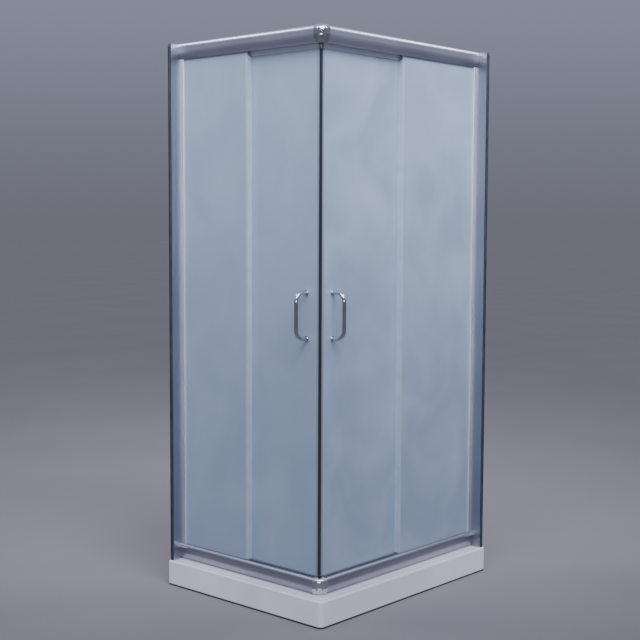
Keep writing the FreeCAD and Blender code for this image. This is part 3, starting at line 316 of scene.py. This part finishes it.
partFinishes = {
    # dark mirror images with small white points of light, which mark the caps and handles
    "chrome": {"name": "chromium plate on brass and moulded caps, polished",
               "first": "#C9CCD1", "second": "#BDC0C7", "driftMm": 60, "metallic": 1.0,
               "roughness": (0.06, 0.13), "grainMm": 12, "grainStrength": 0.01},
    # a dull grey metal, slightly pebbled
    "casting": {"name": "zinc die casting, tumbled",
                "first": "#B9BCC2", "second": "#A3A7AF", "driftMm": 20, "metallic": 1.0,
                "roughness": (0.32, 0.48), "grainMm": 0.8, "grainStrength": 0.18},
    # a clean bright metal, a little softer than chrome
    "stainless": {"name": "stainless steel, cold headed",
                  "first": "#C9CBCF", "second": "#B4B7BD", "driftMm": 8, "metallic": 1.0,
                  "roughness": (0.22, 0.34), "grainMm": 0.5, "grainStrength": 0.06},
    # a light grey metal with a cloudy gloss
    "zincPlate": {"name": "steel, bright zinc plated",
                  "first": "#BDC1C6", "second": "#A9AEB2", "driftMm": 15, "metallic": 1.0,
                  "roughness": (0.28, 0.42), "grainMm": 1.2, "grainStrength": 0.08},
    # an even pale grey without mirror images, which stays light under the top rail
    "lacquered": {"name": "aluminium extrusion, satin lacquer, pale grey",
                  "first": "#DCE5EF", "second": "#D3DCE6", "driftMm": 60, "metallic": 0.0,
                  "roughness": (0.42, 0.50), "grainMm": 0.9, "grainStrength": 0.06},
    # a soft black with a faint moulded grain
    "blackPlastic": {"name": "polypropylene, injection moulded, black",
                     "first": "#1C1D20", "second": "#26272B", "driftMm": 25, "metallic": 0.0,
                     "roughness": (0.42, 0.55), "grainMm": 0.9, "grainStrength": 0.12},
    # a waxy off-white
    "nylon": {"name": "nylon, turned and moulded, natural white",
              "first": "#E2E1DA", "second": "#D3D2CA", "driftMm": 12, "metallic": 0.0,
              "roughness": (0.34, 0.46), "grainMm": 0.6, "grainStrength": 0.08},
    # the dark line beside the wall, with a soft sheen: a real seal, whose dark tone is also
    # painted shade for the gap beside the wall
    "shadowGapSeal": {"name": "soft PVC, extruded, dark grey",
                 "first": "#272D36", "second": "#343B46", "driftMm": 40, "metallic": 0.0,
                 "roughness": (0.38, 0.52), "grainMm": 1.5, "grainStrength": 0.08},
    # a light bluish band that takes on some of the tone behind it
    "paleSeal": {"name": "soft PVC, extruded, translucent",
                 "first": "#C3D4E7", "second": "#B9CADD", "driftMm": 40, "metallic": 0.0,
                 "roughness": (0.34, 0.40), "grainMm": 1.5, "grainStrength": 0.05,
                 "passes": 0.25},
    # a flat black that hardly shines
    "rubber": {"name": "EPDM rubber, moulded, black",
               "first": "#16171A", "second": "#202125", "driftMm": 12, "metallic": 0.0,
               "roughness": (0.6, 0.75), "grainMm": 0.5, "grainStrength": 0.15},
}


def partFinish(key):
    finish = partFinishes[key]
    material, tree, place = newMaterial(finish["name"])
    tone = driftingTone(tree, place, finish["driftMm"], finish["first"], finish["second"])
    gloss = wornGloss(tree, place, partSurface["wearOverDrift"] * finish["driftMm"],
                      partSurface["wearDetail"], finish["roughness"])
    grain = fineRelief(tree, place, finish["grainMm"], partSurface["grainDetail"],
                       finish["grainStrength"], partSurface["grainHeightMm"])
    shader = addNode(tree, "ShaderNodeBsdfPrincipled",
                     {"Metallic": finish["metallic"],
                      "Transmission Weight": finish.get("passes", 0.0)},
                     {"Base Color": tone, "Roughness": gloss, "Normal": grain})
    addNode(tree, "ShaderNodeOutputMaterial", links={"Surface": shader.outputs["BSDF"]})
    return material


# Closing seal: soft PVC, extruded, with a magnet strip. The strip is the dark line where the doors
# meet, and the grip that laps over the glass beside it is a softer grey

closingSeal = {
    "strip": "#272D35",
    "grip": "#84909E",
    "changeMm": 1.0,
    "grainMm": 1.5,
    "grainStrength": 0.06,
    "roughness": 0.36,
}


def magneticSeal(wall):
    finish = closingSeal
    material, tree, place = newMaterial("soft PVC, extruded, with a magnet strip, " + wall)
    glassLow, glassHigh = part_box(f"{wall}_door_glass")
    axis = walls.index(wall)
    leadEdge, outwards = (glassHigh.x, 1) if wall == "front" else (glassLow.y, -1)
    change = outwards * finish["changeMm"] * millimetre
    along = addNode(tree, "ShaderNodeSeparateXYZ", links={"Vector": place}).outputs[axis]
    share = addNode(tree, "ShaderNodeMapRange",
                    {"From Min": leadEdge - change, "From Max": leadEdge + change},
                    {"Value": along})
    tone = addNode(tree, "ShaderNodeMix",
                   {"data_type": "RGBA", mixFirst: linearColour(finish["grip"]),
                    mixSecond: linearColour(finish["strip"])},
                   {mixShare: share.outputs["Result"]})
    grain = fineRelief(tree, place, finish["grainMm"], partSurface["grainDetail"],
                       finish["grainStrength"], partSurface["grainHeightMm"])
    shader = addNode(tree, "ShaderNodeBsdfPrincipled", {"Roughness": finish["roughness"]},
                     {"Base Color": tone.outputs[mixResult], "Normal": grain})
    addNode(tree, "ShaderNodeOutputMaterial", links={"Surface": shader.outputs["BSDF"]})
    return material


finishes = {key: partFinish(key) for key in partFinishes}
dress(["shower_tray"], sanitaryAcrylic())
for axis, wall in enumerate(walls):
    dress([f"{wall}_top_rail"], anodisedAluminium("bright", f"{wall} top rail", axis))
    # painted shade: each bottom rail takes the darker copy of the rail finish
    dress([f"{wall}_bottom_rail"], anodisedAluminium("grey", f"{wall} bottom rail", axis))
    dress([f"{wall}_magnet_seal"], magneticSeal(wall))
    dress([f"{wall}_fixed_glass", f"{wall}_door_glass"], obscuredGlass(wall))
upAxis = 2
# painted shade: the wall profiles take the darker copy of the rail finish
dress(onBothWalls("wall_channel", "wall_post"), anodisedAluminium("grey", "wall profiles", upAxis))
# painted light: the glazing beads take the palest copy of the rail finish
dress(onBothWalls("glazing_bead"), anodisedAluminium("pale", "glazing beads", upAxis))
dress(["top_corner_cap", "bottom_corner_cap", "waste_body", "waste_cover"]
      + onBothWalls("handle"), finishes["chrome"])
dress(["top_corner_joint", "bottom_corner_joint"] + onBothWalls("lead_hanger", "rear_hanger"),
      finishes["casting"])
dress(onBothWalls("rail_screws", "hanger_screws", "lead_axle", "rear_axle"),
      finishes["stainless"])
dress(["tray_leg_bolts"], finishes["zincPlate"])
dress(["tray_leg_pads"] + onBothWalls("door_stops"), finishes["blackPlastic"])
dress(onBothWalls("lead_wheels", "rear_wheels", "guide_shoes"), finishes["nylon"])
dress(onBothWalls("door_top_profile"), finishes["lacquered"])
# partly painted shade: the dark wall seal also stands for the shadow in the gap beside the wall
dress(onBothWalls("wall_seal"), finishes["shadowGapSeal"])
dress(onBothWalls("fixed_edge_seal", "rear_seal"), finishes["paleSeal"])
dress(["waste_seal"], finishes["rubber"])
print("finishes set on the parts that keep their solids")


# Screws of the wall profiles and caps of the handles: a spun head with a driver's recess, and its
# shank. Outlines are shares of the head's radius and height, and of the recess's reach

plusShares = [(0.3, 1), (-0.3, 1), (-0.3, 0.3), (-1, 0.3), (-1, -0.3), (-0.3, -0.3),
              (-0.3, -1), (0.3, -1), (0.3, -0.3), (1, -0.3), (1, 0.3), (0.3, 0.3)]
hexagonShares = [(1, 0), (0.5, 0.866), (-0.5, 0.866), (-1, 0), (-0.5, -0.866), (0.5, -0.866)]

spinSteps = 32
creaseDegrees = 32

fixings = {
    "channel_screws": {
        "title": "WallScrews",
        "count": 3,
        "headMm": 2.0,
        "shankShare": 0.47,
        "domeShares": [(1, 0), (1, 0.35), (0.92, 0.7), (0.74, 0.93), (0.62, 1)],
        "recessShares": plusShares,
        "reachShare": 0.5,
        "depthShare": 0.65,
        "draftShare": 0.7,
        "finish": "stainless",
        "slot": "stainless_steel",
        "body": "enclosure",
    },
    "handle_caps": {
        "title": "HandleCaps",
        "count": 2,
        "headMm": 7.0,
        "shankShare": 0.27,
        "domeShares": [(1, 0), (1, 0.6), (0.96, 0.78), (0.87, 0.92), (0.74, 0.99), (0.55, 1)],
        "recessShares": hexagonShares,
        "reachShare": 0.33,
        "depthShare": 0.5,
        "draftShare": 0.96,
        "finish": "chrome",
        "slot": "chrome",
        "body": "door",
    },
}


def fixingMesh(settings, radius, headHeight, shankLength):
    bm = bmesh.new()
    shank = settings["shankShare"] * radius
    outline = [(shank, -shankLength), (shank, 0.0)]
    outline += [(across * radius, upward * headHeight)
                for across, upward in settings["domeShares"]]
    profile = [bm.verts.new((across, 0.0, upward)) for across, upward in outline]
    side = [bm.edges.new(pair) for pair in zip(profile, profile[1:])]
    bmesh.ops.spin(bm, geom=profile + side, axis=(0, 0, 1), cent=(0, 0, 0), angle=2 * pi,
                   steps=spinSteps, use_merge=True)
    ends = [edge for edge in bm.edges if edge.is_boundary]
    foot = [edge for edge in ends if edge.verts[0].co.z < 0]
    crown = [edge for edge in ends if edge.verts[0].co.z > 0]
    bmesh.ops.holes_fill(bm, edges=foot, sides=0)
    reach = settings["reachShare"] * radius
    corners = [bm.verts.new((across * reach, inward * reach, headHeight))
               for across, inward in settings["recessShares"]]
    lip = [bm.edges.new(pair) for pair in zip(corners, corners[1:] + corners[:1])]
    bmesh.ops.bridge_loops(bm, edges=crown + lip)
    sunk = bmesh.ops.extrude_discrete_faces(bm, faces=[bm.faces.new(corners)])["faces"][0]
    draft = settings["draftShare"]
    bmesh.ops.scale(bm, vec=(draft, draft, 1), verts=sunk.verts)
    bmesh.ops.translate(bm, vec=(0, 0, -settings["depthShare"] * headHeight), verts=sunk.verts)
    bmesh.ops.recalc_face_normals(bm, faces=bm.faces)
    mesh = bpy.data.meshes.new("fixing")
    bm.to_mesh(mesh)
    bm.free()
    return mesh


def makeFixings(wall, node, settings):
    low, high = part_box(f"{wall}_{node}")
    inwards = Vector((0, 1, 0)) if wall == "front" else Vector((-1, 0, 0))
    along = walls.index(wall)
    across = 1 - along
    radius = (high[along] - low[along]) / 2
    headHeight = settings["headMm"] * millimetre
    innerFace = high.y if wall == "front" else low.x
    depth = (high - low)[across]
    single = fixingMesh(settings, radius, headHeight, depth - headHeight)
    turning = Vector((0, 0, 1)).rotation_difference(inwards).to_matrix().to_4x4()
    middle = (low + high) / 2
    bm = bmesh.new()
    for step in range(settings["count"]):
        height = low.z + radius + (high.z - low.z - 2 * radius) * step / (settings["count"] - 1)
        seat = Vector((middle.x, middle.y, height))
        seat[across] = innerFace - inwards[across] * headHeight
        earlier = len(bm.verts)
        bm.from_mesh(single)
        bm.verts.ensure_lookup_table()
        bmesh.ops.transform(bm, matrix=Matrix.Translation(seat) @ turning,
                            verts=bm.verts[earlier:])
    name = wall + settings["title"]
    mesh = bpy.data.meshes.new(name)
    bm.to_mesh(mesh)
    bm.free()
    mesh.shade_smooth()
    mesh.set_sharp_from_angle(angle=radians(creaseDegrees))
    mesh.materials.append(finishes[settings["finish"]])
    piece = bpy.data.objects.new(name, mesh)
    bpy.context.scene.collection.objects.link(piece)
    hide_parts(f"{wall}_{node}")
    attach(piece, "enclosure" if settings["body"] == "enclosure" else f"{wall}_door")


for wall in walls:
    for node, settings in fixings.items():
        makeFixings(wall, node, settings)
print("screws and caps made")


# Studio: a plain matt floor, soft area lights, and air that is palest overhead. Of its stops, 0.5
# is the horizon and 1 is straight up. At the horizon its tone is near that of the far floor, so
# that hardly a line shows there, and it is a little darker on the camera's side, which the glass
# and chrome mirror. Lengths are in metres and angles in degrees

studio = {
    "floor": {"colour": "#8A858D", "shade": "#868189", "driftMm": 900, "roughness": 0.75,
              "reach": 60.0},
    "airStops": {0.5: "#6E6F7B", 0.53: "#757786", 0.58: "#868A9E", 0.74: "#9A9FAF",
                 0.84: "#CDD0DB", 1.0: "#DFE1EB"},
    "darkSide": (0.667, -0.745, 0.0),
    "darkSpread": (0.2, 0.9),
    "darkShare": 0.9,
    "lightColour": "#F0F2FF",
    "lights": {
        # two large ones on the corner's side, so that the shadows of the fixed panes stay hidden
        "frontTop": {"place": (0.5, -2.3, 3.8), "aim": (-0.2, -0.45, 2.3), "size": (3.0, 1.8),
                     "spread": 62, "power": 21},
        "rightTop": {"place": (2.1, -0.5, 3.8), "aim": (0.4, 0.15, 2.3), "size": (3.0, 1.8),
                     "spread": 62, "power": 34},
        # two that the half-round of a top rail mirrors as its line of light
        "frontGlint": {"place": (-2.26, -1.35, 4.17), "aim": (0.0, -0.5, 2.07),
                       "size": (1.4, 0.7), "spread": 95, "power": 9},
        "rightGlint": {"place": (1.17, 2.59, 3.97), "aim": (0.4, 0.0, 2.07),
                       "size": (1.4, 0.7), "spread": 95, "power": 9},
        # a low one for the tray and the foot of the glass
        "cornerFill": {"place": (4.0, -4.7, 1.9), "aim": (0.0, 0.0, 0.2), "size": (2.8, 0.7),
                       "spread": 45, "power": 8},
    },
}

# The photograph's viewpoint, fitted to edges measured in it, in metres and degrees
viewpoint = {
    "place": (3.1888, -3.6206, 1.4279),
    "turn": 41.887,
    "nod": -4.635,
    "lean": 0.229,
    "lensMm": 68.9,
    "sensorMm": 36.0,
}


def makeFloor():
    settings = studio["floor"]
    bm = bmesh.new()
    bmesh.ops.create_grid(bm, x_segments=1, y_segments=1, size=settings["reach"])
    mesh = bpy.data.meshes.new("studioFloor")
    bm.to_mesh(mesh)
    bm.free()
    floor = bpy.data.objects.new("studioFloor", mesh)
    bpy.context.scene.collection.objects.link(floor)
    material, tree, place = newMaterial("matt painted floor")
    tone = driftingTone(tree, place, settings["driftMm"], settings["colour"], settings["shade"])
    shader = addNode(tree, "ShaderNodeBsdfPrincipled", {"Roughness": settings["roughness"]},
                     {"Base Color": tone})
    addNode(tree, "ShaderNodeOutputMaterial", links={"Surface": shader.outputs["BSDF"]})
    mesh.materials.append(material)


def makeLights():
    for name, settings in studio["lights"].items():
        light = bpy.data.lights.new(name, "AREA")
        light.shape = "RECTANGLE"
        light.size, light.size_y = settings["size"]
        light.spread = radians(settings["spread"])
        light.energy = settings["power"]
        light.color = linearColour(studio["lightColour"])[:3]
        lamp = bpy.data.objects.new(name, light)
        lamp.location = settings["place"]
        towards = Vector(settings["aim"]) - lamp.location
        lamp.rotation_euler = towards.to_track_quat("-Z", "Y").to_euler()
        bpy.context.scene.collection.objects.link(lamp)


def makeAir():
    world = bpy.data.worlds.new("studioAir")
    world.use_nodes = True
    tree = world.node_tree
    tree.nodes.clear()
    direction = addNode(tree, "ShaderNodeTexCoord").outputs["Generated"]
    height = addNode(tree, "ShaderNodeSeparateXYZ", links={"Vector": direction}).outputs["Z"]
    share = addNode(tree, "ShaderNodeMapRange", {"From Min": -1.0, "From Max": 1.0},
                    {"Value": height})
    ramp = addNode(tree, "ShaderNodeValToRGB", links={"Fac": share.outputs["Result"]})
    stops = ramp.color_ramp.elements
    while len(stops) < len(studio["airStops"]):
        stops.new(1.0)
    for stop, (where, tone) in zip(stops, studio["airStops"].items()):
        stop.position = where
        stop.color = linearColour(tone)
    side = addNode(tree, "ShaderNodeVectorMath",
                   {"operation": "DOT_PRODUCT", 1: studio["darkSide"]}, {0: direction})
    darkLow, darkHigh = studio["darkSpread"]
    strength = addNode(tree, "ShaderNodeMapRange",
                       {"From Min": darkLow, "From Max": darkHigh, "To Min": 1.0,
                        "To Max": studio["darkShare"]}, {"Value": side.outputs["Value"]})
    air = addNode(tree, "ShaderNodeBackground",
                  links={"Color": ramp.outputs["Color"], "Strength": strength.outputs["Result"]})
    addNode(tree, "ShaderNodeOutputWorld", links={"Surface": air.outputs["Background"]})
    bpy.context.scene.world = world


def makeCamera():
    lens = bpy.data.cameras.new("photoView")
    lens.lens = viewpoint["lensMm"]
    lens.sensor_width = viewpoint["sensorMm"]
    camera = bpy.data.objects.new("photoView", lens)
    level = 90               # a camera that isn't turned looks straight down
    turning = Matrix.Rotation(radians(viewpoint["turn"]), 4, "Z")
    nodding = Matrix.Rotation(radians(level + viewpoint["nod"]), 4, "X")
    leaning = Matrix.Rotation(radians(viewpoint["lean"]), 4, "Z")
    camera.matrix_world = Matrix.Translation(viewpoint["place"]) @ turning @ nodding @ leaning
    bpy.context.scene.collection.objects.link(camera)
    bpy.context.scene.camera = camera


makeFloor()
makeLights()
makeAir()
makeCamera()
print("studio ready")
